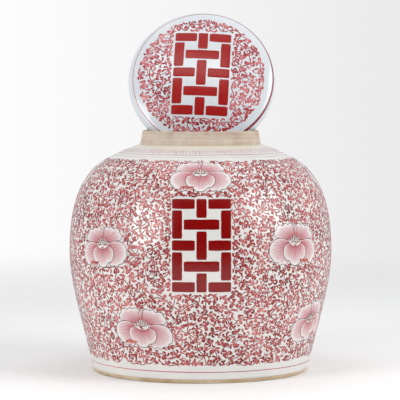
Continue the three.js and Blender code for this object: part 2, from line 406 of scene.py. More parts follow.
# ---------------------------------------------------------------------------------------------
# Foot ring of the jar. Bare stoneware clay that has fired to a warm tan: the glaze is wiped off it
# so that the jar doesn't stick to the kiln shelf, and its outer corner is pared to a bevel.
# ---------------------------------------------------------------------------------------------
def bare_clay(name, light, warm, dark, ring_spacing):
    """Unglazed clay, turned on the wheel: matt, flashed warm in patches, ringed, and flecked with iron. Its
    grit is drawn a little coarser than it is, so that it shows."""
    clay, tree, spot = new_material(name)
    patches = add_node(tree, "ShaderNodeTexNoise", Vector=spot, Scale=pattern_scale(26), Detail=4.0,
                       Roughness=0.65)
    stretch = pattern_scale(170), pattern_scale(170), pattern_scale(ring_spacing)
    flat = add_node(tree, "ShaderNodeMapping", Vector=spot, Scale=stretch)
    rings = add_node(tree, "ShaderNodeTexNoise", Vector=flat.outputs[0], Scale=1.0, Detail=3.0, Roughness=0.7)
    blend = add_node(tree, "ShaderNodeMix", Factor=0.45, A=patches.outputs["Fac"], B=rings.outputs["Fac"])
    flashed = add_node(tree, "ShaderNodeValToRGB", stops=((0.36, dark), (0.48, warm), (0.64, light)),
                       Fac=blend.outputs[0])
    flecks = add_node(tree, "ShaderNodeTexVoronoi", Vector=spot, Scale=pattern_scale(3))
    fleck = add_node(tree, "ShaderNodeMapRange", Value=flecks.outputs["Distance"], From_Min=0.08,
                     From_Max=0.2,
                     To_Min=0.55, To_Max=0.0)
    tint = add_node(tree, "ShaderNodeMix", {"data_type": "RGBA"}, Factor=fleck.outputs[0],
                    in_6=flashed.outputs["Color"], in_7="#7A5B3E")
    grit = add_node(tree, "ShaderNodeTexNoise", Vector=spot, Scale=pattern_scale(0.7), Detail=3.0)
    height = add_node(tree, "ShaderNodeMix", Factor=0.5, A=rings.outputs["Fac"], B=grit.outputs["Fac"])
    bump = add_node(tree, "ShaderNodeBump", Strength=0.35, Distance=0.0006, Height=height.outputs[0])
    surface = add_node(tree, "ShaderNodeBsdfPrincipled", Base_Color=tint.outputs[2], Roughness=0.78,
                       Normal=bump.outputs[0])
    add_node(tree, "ShaderNodeOutputMaterial", Surface=surface.outputs[0])
    return clay


foot_clay = bare_clay("bare_foot_clay", "#E2D5C0", "#CDB596", "#AD906C", 2.4)
foot_stand = [(FOOT_HOLLOW_RADIUS, 5.9), (FOOT_HOLLOW_RADIUS, 1.5), (FOOT_HOLLOW_RADIUS + 0.5, 0.5),
              (FOOT_HOLLOW_RADIUS + 1.5, 0.0), (100, 0.0), (104.6, 0.0), (105.2, 0.2)]
foot_bevel = [(106.4, 1.4), (107.7, 3.1), (107.9, 3.7), (107.4, 4.4), (107.0, 5.2), (106.6, 5.9)]
foot_piece = turned("foot_ring_biscuit", Outline([*foot_stand, *foot_bevel, foot_stand[0]]), foot_clay)
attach(foot_piece, "jar")
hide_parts("foot_ring")


# ---------------------------------------------------------------------------------------------
# Neck collar. The upright neck that the lid's skirt fits over, left bare so that the lid doesn't
# fuse to it: thrown clay, drawn in at its waist, ringed by the potter's finger, with a soft lip.
# ---------------------------------------------------------------------------------------------
COLLAR_FOOT_RADIUS = 60.6
COLLAR_WAIST_RADIUS = 58.9
RIM_RADIUS = 58.2
RIM_HEIGHT = 240.0
THROWING_RING_DEPTH = 0.10

rise = np.linspace(0, 1, 44)
waist = 2 * rise * (1 - rise) * COLLAR_WAIST_RADIUS
swell = (1 - rise) ** 2 * COLLAR_FOOT_RADIUS + waist + rise ** 2 * RIM_RADIUS
ripple = np.sin(rise * 31 + 1.7 * np.sin(rise * 9)) + 0.5 * np.sin(rise * 67)
fade = np.minimum(1, 8 * np.minimum(rise, 1 - rise))
collar_foot_height = SEAT_HEIGHT + 0.3
collar_heights = collar_foot_height + rise * (RIM_HEIGHT - 1.1 - collar_foot_height)
collar_side = np.stack([swell - THROWING_RING_DEPTH * (1 + ripple * fade), collar_heights], 1)
collar_lip = [(RIM_RADIUS - 0.15, 239.35), (RIM_RADIUS - 0.5, 239.8), (RIM_RADIUS - 1.1, 239.97),
              (56.3, 240.0),
              (55.5, 239.97), (54.95, 239.75), (54.65, 239.3), (MOUTH_RADIUS, 238.6)]
collar_inside = [(MOUTH_RADIUS, height) for height in np.linspace(236, collar_foot_height, 8)]
collar_outline = Outline([*collar_side, *collar_lip, *collar_inside, collar_side[0]])
collar_clay = bare_clay("bare_collar_clay", "#D9CCBD", "#C9B7A5", "#AE967F", 1.8)
collar = turned("neck_collar_biscuit", collar_outline, collar_clay)
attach(collar, "jar")
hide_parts("neck_collar")


# ---------------------------------------------------------------------------------------------
# Lid. A thrown porcelain cap: shallow dome, rounded shoulder and turned-down skirt, glazed inside
# and out in the same faintly blue glaze. It is turned about its own axis, then leant in the mouth.
# ---------------------------------------------------------------------------------------------
LID_RADIUS = 73.7
DOME_EDGE = (66.5, 9.3)
DOME_HEIGHT = 18.6
DOME_SLOPE = math.radians(16)
SHOULDER_RISE = 5.5
LID_WALL = 5.2
SKIRT_GLAZE_DEPTH = -12.5
LID_CENTRE = Vector((1.3, 12.0, 288.4)) * MM
LID_LEAN = math.radians(22.8)
LID_TURN = math.radians(-2.2)
LID_FACETS = 180
LID_WAVER = 0.2
LID_WAVER_SIZE = 71
NEVER_THIN = 1000.0
lid_place = (Matrix.Translation(LID_CENTRE) @ Matrix.Rotation(LID_TURN, 4, "Z")
             @ Matrix.Rotation(math.pi / 2 - LID_LEAN, 4, "X"))


def dome(apex, edge, steps):
    """Radius and height along part of a sphere, from its edge in to its apex."""
    sag = apex - edge[1]
    radius = (edge[0] ** 2 + sag ** 2) / (2 * sag)
    angles = np.linspace(math.asin(edge[0] / radius), 0, steps + 1)
    return [(radius * math.sin(a), apex - radius * (1 - math.cos(a))) for a in angles]


widest = (LID_RADIUS, 0.0)
lid_shoulder = cubic(widest, (LID_RADIUS, SHOULDER_RISE), leaving(DOME_EDGE, -DOME_SLOPE, SHOULDER_RISE),
                     DOME_EDGE, 14)
lid_top = dome(DOME_HEIGHT, DOME_EDGE, 40)
inner_edge = (DOME_EDGE[0] - 0.8 * LID_WALL, DOME_EDGE[1] - 0.85 * LID_WALL)
inner_widest = (LID_RADIUS - LID_WALL, 0.0)
lid_hollow = dome(DOME_HEIGHT - LID_WALL, inner_edge, 24)[::-1]
hollow_shoulder = cubic(inner_edge, leaving(inner_edge, -DOME_SLOPE, 4.5), (inner_widest[0], 2.7),
                        inner_widest, 8)
skirt_inside = [(inner_widest[0] - 0.6, -4.0), (67.2, -8.5), (66.6, SKIRT_GLAZE_DEPTH + 0.3),
                (66.9, SKIRT_GLAZE_DEPTH)]
skirt_edge = [(69.9, SKIRT_GLAZE_DEPTH), (70.5, SKIRT_GLAZE_DEPTH + 0.2), (70.75, SKIRT_GLAZE_DEPTH + 0.7)]
skirt_outside = cubic(skirt_edge[-1], (72.1, -8.0), (LID_RADIUS, -4.5), widest, 12)
lid_outline = Outline([*lid_hollow, *hollow_shoulder, *skirt_inside, *skirt_edge, *skirt_outside,
                       *lid_shoulder,
                       *lid_top[1:]])
lid_glaze = porcelain_glaze("clear_glaze_on_lid", "#E1E4E6", "#D4DAE0", NEVER_THIN)
lid_shell = turned("lid_glazed_shell", lid_outline, lid_glaze, LID_FACETS, LID_WAVER, LID_WAVER_SIZE)
lid_shell.data.transform(lid_place)
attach(lid_shell, "lid")
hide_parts("lid_dome", "lid_skirt")


# ---------------------------------------------------------------------------------------------
# Bare edge of the lid's skirt. The lid is fired standing on this edge, so its glaze is wiped off
# and the clay shows as a narrow tan ring with rounded corners.
# ---------------------------------------------------------------------------------------------
edge_ring = [(67.0, -12.4), (66.6, -12.9), (66.9, -13.6), (67.6, -14.0), (69.4, -14.0), (70.3, -13.6),
             (70.6, -12.9),
             (70.2, -12.4), (67.0, -12.4)]
skirt_ring = turned("lid_skirt_edge_biscuit", Outline(edge_ring), foot_clay, LID_FACETS)
skirt_ring.data.transform(lid_place)
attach(skirt_ring, "lid")


# ---------------------------------------------------------------------------------------------
# Geometric emblem on the front and back of the jar and on the lid. Three upright and five level
# bars pass over and under each other in thick iron red. Each bar is laid on with a flat brush, so
# that its corners are a little round, and the white of the porcelain shows between the bars.
# ---------------------------------------------------------------------------------------------
EMBLEM_HEIGHT = 134.7
EMBLEM_SIZE = (56.4, 89.3)
BAR_WIDTH = 9.8
BAR_GAP = 1.5
BAR_CORNER = 1.3
UPRIGHTS = (-23.3, 0.0, 23.3)
LEVELS = (-39.7, -19.85, 0.0, 19.85, 39.7)
ENAMEL_RISE = 0.10
ENAMEL_EDGE_DROP = 0.04
PAPER_RADIUS = 131.0
LID_EMBLEM_TURN = math.radians(-2.2)
LID_EMBLEM_CENTRE = (0.0, 2.4)


def laid_on_wall(tree, geometry, outline, given):
    """Moves points that say turn, arc length and lift onto the turned surface of an outline, waver and all.
    Gives the moved geometry and the way the surface faces at each point."""
    place = add_node(tree, "GeometryNodeInputPosition").outputs[0]
    parts = add_node(tree, "ShaderNodeSeparateXYZ", Vector=place).outputs
    sample = add_node(tree, "GeometryNodeSampleCurve", {"mode": "LENGTH", "use_all_curves": True},
                      Curves=outline, Length=parts["Y"]).outputs
    radius = add_node(tree, "ShaderNodeSeparateXYZ", Vector=sample["Position"]).outputs["X"]
    across = add_node(tree, "ShaderNodeVectorMath:CROSS_PRODUCT", in_0=(0, 1, 0),
                      in_1=sample["Tangent"]).outputs[0]
    angle = add_node(tree, "ShaderNodeMath:SUBTRACT", in_0=parts["X"], in_1=math.pi / 2).outputs[0]
    ways = sample["Position"], across, (1, 0, 0)
    on_wall, facing, outward = (add_node(tree, "ShaderNodeVectorRotate", {"rotation_type": "Z_AXIS"},
                                         Vector=way, Angle=angle).outputs[0] for way in ways)
    push = wavered(tree, on_wall, radius, outward, given)
    raised = add_node(tree, "ShaderNodeVectorMath:SCALE", in_0=facing, Scale=parts["Z"]).outputs[0]
    offset = add_node(tree, "ShaderNodeVectorMath:ADD", in_0=raised, in_1=push).outputs[0]
    kept = add_node(tree, "GeometryNodeCaptureAttribute")
    kept.capture_items.new("VECTOR", "facing")
    tree.links.new(geometry, kept.inputs[0])
    tree.links.new(facing, kept.inputs[1])
    moved = add_node(tree, "GeometryNodeSetPosition", Geometry=kept.outputs[0], Position=on_wall,
                     Offset=offset)
    return moved.outputs[0], kept.outputs[1]


def patch_tree():
    """Lays flat closed patches of enamel on a turned surface."""
    tree, given, outline = tree_on_outline("lay_patches")
    laid, _ = laid_on_wall(tree, given["Geometry"], outline, given)
    smooth = add_node(tree, "GeometryNodeSetShadeSmooth", Geometry=laid)
    return end_tree(tree, smooth.outputs[0], given["Finish"])


lay_patches = patch_tree()


class PaintedSurface:
    """A turned surface to paint: its outline, body and waver, and how flat places map to turn and arc."""

    def __init__(self, outline, turn_and_arc, body, waver, waver_size, place=None):
        self.outline, self.turn_and_arc, self.body, self.place = outline, turn_and_arc, body, place
        self.waver, self.waver_size = waver, waver_size

    def lay(self, name, tree, mesh, enamel, **more):
        """A painted piece that a tree makes from a mesh and lays on this surface."""
        piece = grown(name, tree, mesh, self.outline, Waver=self.waver * MM,
                      Scale=pattern_scale(self.waver_size),
                      Finish=enamel, **more)
        if self.place:
            piece.data.transform(self.place)
        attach(piece, self.body)
        return piece


def turn_and_arc_on_wall(places):
    return np.stack([places[..., 0] / PAPER_RADIUS, places[..., 1] * MM], -1)


def turn_and_arc_on_lid(places):
    reach = np.hypot(places[..., 0], places[..., 1])
    return np.stack([np.arctan2(places[..., 0], -places[..., 1]), (lid_outside.lengths[-1] - reach) * MM], -1)


lid_outside = Outline([widest, *lid_shoulder, *lid_top[1:]])
jar_surface = PaintedSurface(outside, turn_and_arc_on_wall, "jar", WALL_WAVER, WALL_WAVER_SIZE)
lid_surface = PaintedSurface(lid_outside, turn_and_arc_on_lid, "lid", LID_WAVER, LID_WAVER_SIZE, lid_place)


class Plates:
    """Closed flat plates over grids of flat places, gathered into one mesh with attributes on its points."""

    def __init__(self):
        self.points, self.faces, self.values, self.count = [], [], {}, 0

    def add(self, grid, top, depth=0.05, **values):
        rows, columns = grid.shape[:2]
        lift = np.full((rows, columns), top)
        lift[[0, -1], :] -= ENAMEL_EDGE_DROP
        lift[1:-1, [0, -1]] -= ENAMEL_EDGE_DROP
        upper = np.concatenate([grid, lift[..., None]], -1).reshape(-1, 3)
        lower = np.concatenate([grid, np.full((rows, columns, 1), -depth)], -1).reshape(-1, 3)
        number = np.arange(rows * columns).reshape(rows, columns) + self.count
        below = number + rows * columns
        corners = (number[:-1, :-1], number[:-1, 1:], number[1:, 1:], number[1:, :-1])
        quads = np.stack([c.ravel() for c in corners], 1)
        under = np.stack([c.ravel() + rows * columns for c in corners], 1)[:, ::-1]
        loop = np.concatenate([number[0, :-1], number[:-1, -1], number[-1, :0:-1], number[:0:-1, 0]])
        after = np.roll(loop, -1)
        sides = np.stack([after, loop, loop + rows * columns, after + rows * columns], 1)
        signed = np.cross(grid[0, 1] - grid[0, 0], grid[1, 0] - grid[0, 0])
        faces = np.concatenate([quads, under, sides])
        if signed < 0:
            faces = faces[:, ::-1]
        self.points.append(np.concatenate([upper, lower]))
        self.faces.append(faces)
        for name, value in values.items():
            full = np.broadcast_to(value, (rows, columns)).ravel()
            self.values.setdefault(name, []).append(np.concatenate([full, full]))
        self.count += 2 * rows * columns

    def mesh(self, name, turn_and_arc):
        points = np.concatenate(self.points)
        turned_points = np.concatenate([turn_and_arc(points[:, :2]), points[:, 2:] * MM], 1)
        made = bpy.data.meshes.new(name)
        made.from_pydata(turned_points.tolist(), [], np.concatenate(self.faces).tolist())
        for label, parts in self.values.items():
            made.attributes.new(label, "FLOAT", "POINT").data.foreach_set("value", np.concatenate(parts))
        return made


def stations(length, step, edge):
    """Places along a length, with one close to each end for the rounded edge of the enamel."""
    inner = np.linspace(edge, length - edge, max(2, math.ceil((length - 2 * edge) / step) + 1))
    return np.concatenate([[0.0], inner, [length]])


def bar_grid(start, end, width, random):
    """A grid over a brushed bar from start to end, with soft corners and edges that aren't quite straight."""
    start, end = np.array(start, float), np.array(end, float)
    length = math.dist(start, end)
    run = (end - start) / length
    side = np.array([-run[1], run[0]])
    along = stations(length, 2.6, 0.35)
    across = np.array([-1, -0.93, -0.34, 0.34, 0.93, 1])
    from_end = np.minimum(along, length - along)
    round_part = BAR_CORNER ** 2 - (BAR_CORNER - from_end) ** 2
    cut = np.where(from_end < BAR_CORNER, BAR_CORNER - np.sqrt(np.maximum(round_part, 0)), 0)
    unsteady = random.normal(0, 0.06, (len(along), 2))
    half = width / 2 - 0.8 * cut + unsteady[:, 0]
    middle = start + along[:, None] * run + 0.5 * unsteady[:, 1:] * side
    return middle[:, None, :] + (half[:, None] * across)[..., None] * side


def woven_bars():
    """Start and end of each bar of the emblem. Where two cross, one stops short on each side of the other."""
    pause = BAR_WIDTH / 2 + BAR_GAP
    half_width, half_height = EMBLEM_SIZE[0] / 2, EMBLEM_SIZE[1] / 2
    bars = []
    for i, x in enumerate(UPRIGHTS):
        passed = [y for j, y in enumerate(LEVELS) if (i + j) % 2 == 0]
        ends = [-half_height, *(y + pause for y in passed)], [*(y - pause for y in passed), half_height]
        bars += [((x, low), (x, high)) for low, high in zip(*ends) if high - low > 2]
    for j, y in enumerate(LEVELS):
        passed = [x for i, x in enumerate(UPRIGHTS) if (i + j) % 2 == 1]
        ends = [-half_width, *(x + pause for x in passed)], [*(x - pause for x in passed), half_width]
        bars += [((left, y), (right, y)) for left, right in zip(*ends) if right - left > 2]
    return bars


def emblem(name, surface, centre, stretch, turn, seed, enamel):
    plates = Plates()
    random = np.random.default_rng(seed)
    cosine, sine = math.cos(turn), math.sin(turn)
    for start, end in woven_bars():
        grid = bar_grid(start, end, BAR_WIDTH, random)
        x, y = grid[..., 0] * cosine - grid[..., 1] * sine, grid[..., 0] * sine + grid[..., 1] * cosine
        flat = np.stack([centre[0] + x / stretch(centre[1] + y), centre[1] + y], -1)
        plates.add(flat, ENAMEL_RISE, depth=0.08)
    return surface.lay(name, lay_patches, plates.mesh(name, surface.turn_and_arc), enamel)


def opaque_red(name, thick, thin):
    """Thick iron-red enamel, nearly opaque: deep red, a shade lighter where the flat brush dragged."""
    enamel, tree, spot = new_material(name)
    stretch = pattern_scale(17), pattern_scale(17), pattern_scale(2.4)
    drag = add_node(tree, "ShaderNodeMapping", Vector=spot, Scale=stretch)
    streaks = add_node(tree, "ShaderNodeTexNoise", Vector=drag.outputs[0], Scale=1.0, Detail=3.0,
                       Roughness=0.6)
    clouds = add_node(tree, "ShaderNodeTexNoise", Vector=spot, Scale=pattern_scale(11), Detail=2.0)
    blend = add_node(tree, "ShaderNodeMix", Factor=0.5, A=streaks.outputs["Fac"], B=clouds.outputs["Fac"])
    amount = add_node(tree, "ShaderNodeMapRange", Value=blend.outputs[0], From_Min=0.35, From_Max=0.65)
    tint = add_node(tree, "ShaderNodeMix", {"data_type": "RGBA"}, Factor=amount.outputs[0], in_6=thick,
                    in_7=thin)
    bump = add_node(tree, "ShaderNodeBump", Strength=0.15, Distance=0.0004, Height=streaks.outputs["Fac"])
    surface = add_node(tree, "ShaderNodeBsdfPrincipled", Base_Color=tint.outputs[2], Roughness=0.24, IOR=1.46,
                       Normal=bump.outputs[0])
    add_node(tree, "ShaderNodeOutputMaterial", Surface=surface.outputs[0])
    return enamel


def wall_stretch(along):
    """How broad the wall really is at an arc length, against the flat places at PAPER_RADIUS."""
    return outside.radius(along) / PAPER_RADIUS


def no_stretch(along):
    return np.ones_like(along)


emblem_red = opaque_red("emblem_iron_red", "#7E0404", "#880706")
# Painted haze: the lid's emblem is the jar's iron red painted lighter, for the soft reflection of light on
# the upturned lid.
lid_emblem_red_painted_haze = opaque_red("lid_emblem_iron_red_painted_haze", "#9A1716", "#A5211F")
emblem_arc = outside.at_height(EMBLEM_HEIGHT)
front_centre = (1.0, emblem_arc)
back_centre = (math.pi * PAPER_RADIUS, emblem_arc)
emblem("front_emblem", jar_surface, front_centre, wall_stretch, 0.0, 3, emblem_red)
emblem("back_emblem", jar_surface, back_centre, wall_stretch, 0.0, 4, emblem_red)
emblem("lid_emblem", lid_surface, LID_EMBLEM_CENTRE, no_stretch, LID_EMBLEM_TURN, 5, lid_emblem_red_painted_haze)


# ---------------------------------------------------------------------------------------------
# Flowers. Twelve camellia-like blooms scattered round the jar, each painted in thin opaque wash:
# two scalloped petals at the back, a fan to each side and a heart-shaped petal in front, white at
# the rim and rose at the heart, with fine veins drawn from the centre out.
# ---------------------------------------------------------------------------------------------
FLOWERS = (
    # turn in degrees from the front, height, size, tilt in degrees, mirrored
    (0, 201.5, 0.94, 0, False), (90, 201.0, 0.94, 3, True), (180, 201.5, 0.94, -2, True),
    (-90, 201.0, 0.94, 2, False), (-46, 132.5, 1.0, 4, False), (44, 135.5, 1.04, -3, True),
    (134, 133.0, 1.0, 3, True), (-134, 134.0, 1.0, -4, False), (-27.6, 56.0, 1.02, -3, False),
    (62, 57.0, 1.0, 4, True), (153, 57.0, 1.0, 2, False), (-117, 58.0, 1.02, -3, True),
)
BACK_PETAL = ((-8, 2), (-16, 3), (-23, 4), (-25, 8), (-22.5, 11), (-21.5, 14), (-18, 15.5), (-15, 14.7),
              (-12, 17),
              (-8.5, 16), (-6, 17.3), (-2.5, 15.5), (-0.8, 11), (-0.5, 7))
SIDE_PETAL = ((-9, 1.5), (-15, 3), (-22, 2.5), (-28, -1), (-30.5, -7), (-30, -13), (-26.5, -16.5),
              (-25, -18.8), (-21, -19.3),
              (-18.5, -21.6), (-14.5, -20.4), (-11.5, -21.4), (-8.5, -18.5), (-7, -13))
HEART_PETAL = ((-8.5, -1.5), (-13, -3.6), (-14.9, -8.5), (-14, -13), (-11, -16.6), (-7.6, -17.4), (-5, -20.6),
               (-0.5, -22),
               (4, -20.8), (6.8, -17.6), (10.6, -16.8), (13.6, -13), (14.6, -8.5), (12.8, -3.6), (8.5, -1.5))
SLIVER_PETAL = ((-1.6, 7), (-2.6, 11), (-1.4, 14.6), (1.6, 17.6), (1.9, 14), (1.2, 10), (1.2, 7))
PETALS = (
    # rim, the short line the veins spring from, level above the wall, seen from the other side, vein count
    (BACK_PETAL, ((-7, 1.2), (-0.5, 4)), 0, False, 15), (BACK_PETAL, ((-7, 1.2), (-0.5, 4)), 0, True, 15),
    (SLIVER_PETAL, ((-1, 6), (1, 6)), 1, False, 3), (SIDE_PETAL, ((-8, -0.3), (-7, -7)), 2, False, 19),
    (SIDE_PETAL, ((-8, -0.3), (-7, -7)), 2, True, 19),
    (HEART_PETAL, ((-6.5, -2.2), (6.5, -2.2)), 3, False, 17),
)
PETAL_LIFT = 0.05
PETAL_STEP = 0.07


def smooth_line(points, steps):
    """A smooth line through points, with so many steps between each two."""
    points = np.array(points, float)
    ends = np.vstack([2 * points[0] - points[1], points, 2 * points[-1] - points[-2]])
    t = np.arange(steps)[:, None] / steps
    spans = []
    for a, b, c, d in zip(ends, ends[1:], ends[2:], ends[3:]):
        bend = (2 * a - 5 * b + 4 * c - d) * t ** 2
        spans.append(0.5 * (2 * b + (c - a) * t + bend + (3 * b - a - 3 * c + d) * t ** 3))
    return np.vstack([*spans, points[-1:]])


def petal_shape(rim, spring, flipped, steps):
    """The rim of a petal, and the line its veins spring from, both from one side to the other."""
    flip = np.array([-1.0, 1.0]) if flipped else np.array([1.0, 1.0])
    edge = smooth_line(rim, steps) * flip
    first, last = (np.array(p) * flip for p in spring)
    return edge, first + np.linspace(0, 1, len(edge))[:, None] * (last - first)


class Bloom:
    """One flower's place on the wall; it lays drawn offsets on the wall's cloth."""

    def __init__(self, degrees, height, size, tilt, mirrored):
        self.place = np.array([math.radians(degrees) * PAPER_RADIUS, outside.at_height(height)])
        turn = math.radians(tilt)
        spin = np.array([[math.cos(turn), math.sin(turn)], [-math.sin(turn), math.cos(turn)]])
        self.change = size * np.diag([-1.0 if mirrored else 1.0, 1.0]) @ spin

    def lay(self, drawn):
        drawn = np.asarray(drawn, float)
        offsets = drawn.reshape(-1, 2) @ self.change
        across = offsets[:, 0] / wall_stretch(self.place[1] + offsets[:, 1] / 2)
        return (self.place + np.stack([across, offsets[:, 1]], 1)).reshape(drawn.shape)


blooms = [Bloom(*row) for row in FLOWERS]
petals, petal_lines, petal_edges = Plates(), [], []
seeded = np.random.default_rng(21)
inward = np.array([0.0, 0.05, 0.18, 0.34, 0.5, 0.66, 0.8, 0.92, 0.975, 1.0])[:, None, None]
for bloom in blooms:
    for rim, spring, level, flipped, veins in PETALS:
        edge, root = petal_shape(rim, spring, flipped, 3)
        grid = root + (edge - root) * inward
        across = np.linspace(0, veins, len(edge))[None, :]
        warm = 1.0 if level == 2 and not flipped else 0.3
        lift = PETAL_LIFT + PETAL_STEP * level
        petals.add(bloom.lay(grid), lift, outward=inward[:, :, 0], vein=across, warm=warm)
        petal_edges.append(bloom.lay(np.vstack([edge, root[::-1]])))
        line = bloom.lay(petal_shape(rim, spring, flipped, 4)[0])
        breadth = 0.5 + 0.22 * np.sin(np.linspace(0, math.pi, len(line))) + seeded.normal(0, 0.04, len(line))
        petal_lines.append((line, breadth, np.full(len(line), seeded.uniform(0.35, 0.7)), level))


def petal_wash(name):
    """Thin wash of rose over opaque white: white at the rim, rose inwards, combed with fine drawn veins."""
    wash, tree, spot = new_material(name)
    outward, vein, warm = (add_node(tree, "ShaderNodeAttribute", {"attribute_name": label}).outputs["Fac"]
                           for label in ("outward", "vein", "warm"))
    cloud = add_node(tree, "ShaderNodeTexNoise", Vector=spot, Scale=pattern_scale(6),
                     Detail=3.0).outputs["Fac"]
    unsteady = add_node(tree, "ShaderNodeMapRange", {"clamp": False}, Value=cloud, To_Min=-0.25,
                        To_Max=0.25).outputs[0]
    reached = add_node(tree, "ShaderNodeMath:MULTIPLY_ADD", in_0=unsteady, in_1=0.35, in_2=outward).outputs[0]
    rose = add_node(tree, "ShaderNodeValToRGB", Fac=reached, stops=(
        (0, "#A8404C"), (0.2, "#C27C82"), (0.5, "#D3A8AA"), (0.76, "#DBC0C0"), (0.9, "#E4DCDA"),
        (1, "#E3E6E4")))
    comb = add_node(tree, "ShaderNodeMath:ADD", in_0=vein, in_1=unsteady).outputs[0]
    phase = add_node(tree, "ShaderNodeMath:MULTIPLY", in_0=comb, in_1=math.tau).outputs[0]
    wave = add_node(tree, "ShaderNodeMath:SINE", in_0=phase).outputs[0]
    stroke = add_node(tree, "ShaderNodeMapRange", Value=wave, From_Min=0.45, From_Max=0.9).outputs[0]
    reach = add_node(tree, "ShaderNodeMapRange", Value=reached, From_Min=0.95, From_Max=0.45,
                     To_Max=0.75).outputs[0]
    drawn = add_node(tree, "ShaderNodeMath:MULTIPLY", in_0=stroke, in_1=reach).outputs[0]
    veined = add_node(tree, "ShaderNodeMix", {"data_type": "RGBA"}, Factor=drawn, in_6=rose.outputs["Color"],
                      in_7="#8A4250")
    near_heart = add_node(tree, "ShaderNodeMapRange", Value=reached, From_Min=0.5, From_Max=0.0,
                          To_Max=0.7).outputs[0]
    blush = add_node(tree, "ShaderNodeMath:MULTIPLY", in_0=near_heart, in_1=warm).outputs[0]
    warmed = add_node(tree, "ShaderNodeMix", {"data_type": "RGBA"}, Factor=blush, in_6=veined.outputs[2],
                      in_7="#CC4A48")
    surface = add_node(tree, "ShaderNodeBsdfPrincipled", Base_Color=warmed.outputs[2], Roughness=0.2, IOR=1.6)
    add_node(tree, "ShaderNodeOutputMaterial", Surface=surface.outputs[0])
    return wash


petal_mesh = petals.mesh("flower_petals", turn_and_arc_on_wall)
jar_surface.lay("flower_petals", lay_patches, petal_mesh, petal_wash("petal_rose_wash"))


# ---------------------------------------------------------------------------------------------
# Outlines of the flowers. A fine brush line round every petal, pale maroon, a little broader in the
# middle of each sweep, drawn after the wash so that the nearer petal's line covers the one behind.
# ---------------------------------------------------------------------------------------------
OUTLINE_LIFT = 0.065


def stroke_mesh(name, strokes, turn_and_arc, lift):
    """Strokes as chains of edges whose points say turn, arc length and lift, with breadth and tone."""
    sizes = [len(points) for points, _, _ in strokes]
    starts = np.concatenate([[0], np.cumsum(sizes)])
    flat = np.concatenate([points for points, _, _ in strokes])
    place = np.concatenate([turn_and_arc(flat), np.full((len(flat), 1), lift * MM)], 1)
    edges = np.concatenate([np.stack([np.arange(a, b - 1), np.arange(a + 1, b)], 1) for a,
                            b in zip(starts, starts[1:])])
    mesh = bpy.data.meshes.new(name)
    mesh.vertices.add(len(flat))
    mesh.vertices.foreach_set("co", place.ravel())
    mesh.edges.add(len(edges))
    mesh.edges.foreach_set("vertices", edges.ravel())
    breadth = np.concatenate([widths for _, widths, _ in strokes]) * MM
    tone = np.clip(np.concatenate([tones for _, _, tones in strokes]), 0, 1)
    for label, values in (("breadth", breadth), ("tone", tone)):
        mesh.attributes.new(label, "FLOAT", "POINT").data.foreach_set("value", values)
    return mesh


def swept_marks(tree, lines, outline, given):
    """Lays lines on the wall and sweeps a flat brush mark along them, as broad as each point says."""
    laid, facing = laid_on_wall(tree, lines, outline, given)
    levelled = add_node(tree, "GeometryNodeSetCurveNormal", {"mode": "FREE"}, Curve=laid, Normal=facing)
    breadth = add_node(tree, "GeometryNodeInputNamedAttribute", {"data_type": "FLOAT"},
                       Name="breadth").outputs[0]
    mark = add_node(tree, "GeometryNodeCurvePrimitiveQuadrilateral", {"mode": "TRAPEZOID"}, Bottom_Width=1.05,
                    Top_Width=0.84, Offset=0.0, Height=0.055)
    upright = add_node(tree, "GeometryNodeTransform", Geometry=mark.outputs[0], Rotation=(0, 0, -math.pi / 2))
    return add_node(tree, "GeometryNodeCurveToMesh", Curve=levelled.outputs[0],
                    Profile_Curve=upright.outputs[0],
                    Scale=breadth, Fill_Caps=True).outputs[0]


def brush_tree():
    """Brush strokes on a turned surface."""
    tree, given, outline = tree_on_outline("brush_strokes")
    lines = add_node(tree, "GeometryNodeMeshToCurve", Mesh=given["Geometry"]).outputs[0]
    return end_tree(tree, swept_marks(tree, lines, outline, given), given["Finish"])


brush_strokes = brush_tree()


def brushed_red(name, pale, mid, dark):
    """Iron-red enamel: fired iron oxide in a soft clear flux. Pale and pink where the brush ran dry, dark
    maroon where it pooled, with a soft gloss over it."""
    enamel, tree, spot = new_material(name)
    tone = add_node(tree, "ShaderNodeAttribute", {"attribute_name": "tone"}).outputs["Fac"]
    pooling = add_node(tree, "ShaderNodeTexNoise", Vector=spot, Scale=pattern_scale(2.4),
                       Detail=2.0).outputs["Fac"]
    drift = add_node(tree, "ShaderNodeTexNoise", Vector=spot, Scale=pattern_scale(38),
                     Detail=1.0).outputs["Fac"]
    fine = add_node(tree, "ShaderNodeMapRange", {"clamp": False}, Value=pooling, To_Min=-0.35, To_Max=0.35)
    broad = add_node(tree, "ShaderNodeMapRange", {"clamp": False}, Value=drift, To_Min=-0.45, To_Max=0.45)
    uneven = add_node(tree, "ShaderNodeMath:ADD", in_0=fine.outputs[0], in_1=broad.outputs[0]).outputs[0]
    depth = add_node(tree, "ShaderNodeMath:ADD", in_0=tone, in_1=uneven).outputs[0]
    ramp = add_node(tree, "ShaderNodeValToRGB", stops=((0, pale), (0.5, mid), (1, dark)), Fac=depth)
    bump = add_node(tree, "ShaderNodeBump", Strength=0.12, Distance=0.0004, Height=pooling)
    surface = add_node(tree, "ShaderNodeBsdfPrincipled", Base_Color=ramp.outputs["Color"], Roughness=0.2,
                       Normal=bump.outputs[0], IOR=1.62)
    add_node(tree, "ShaderNodeOutputMaterial", Surface=surface.outputs[0])
    return enamel


def brush_on(name, surface, strokes, enamel, lift=0.03):
    return surface.lay(name, brush_strokes, stroke_mesh(name, strokes, surface.turn_and_arc, lift), enamel)


outline_red = brushed_red("flower_outline_red", "#98585F", "#6E2E37", "#46141E")
for level, level_name in enumerate(("back", "middle", "side", "heart")):
    lines = [(line, breadth, tones) for line, breadth, tones, at in petal_lines if at == level]
    brush_on("flower_outlines_" + level_name, jar_surface, lines, outline_red,
             OUTLINE_LIFT + PETAL_STEP * level)


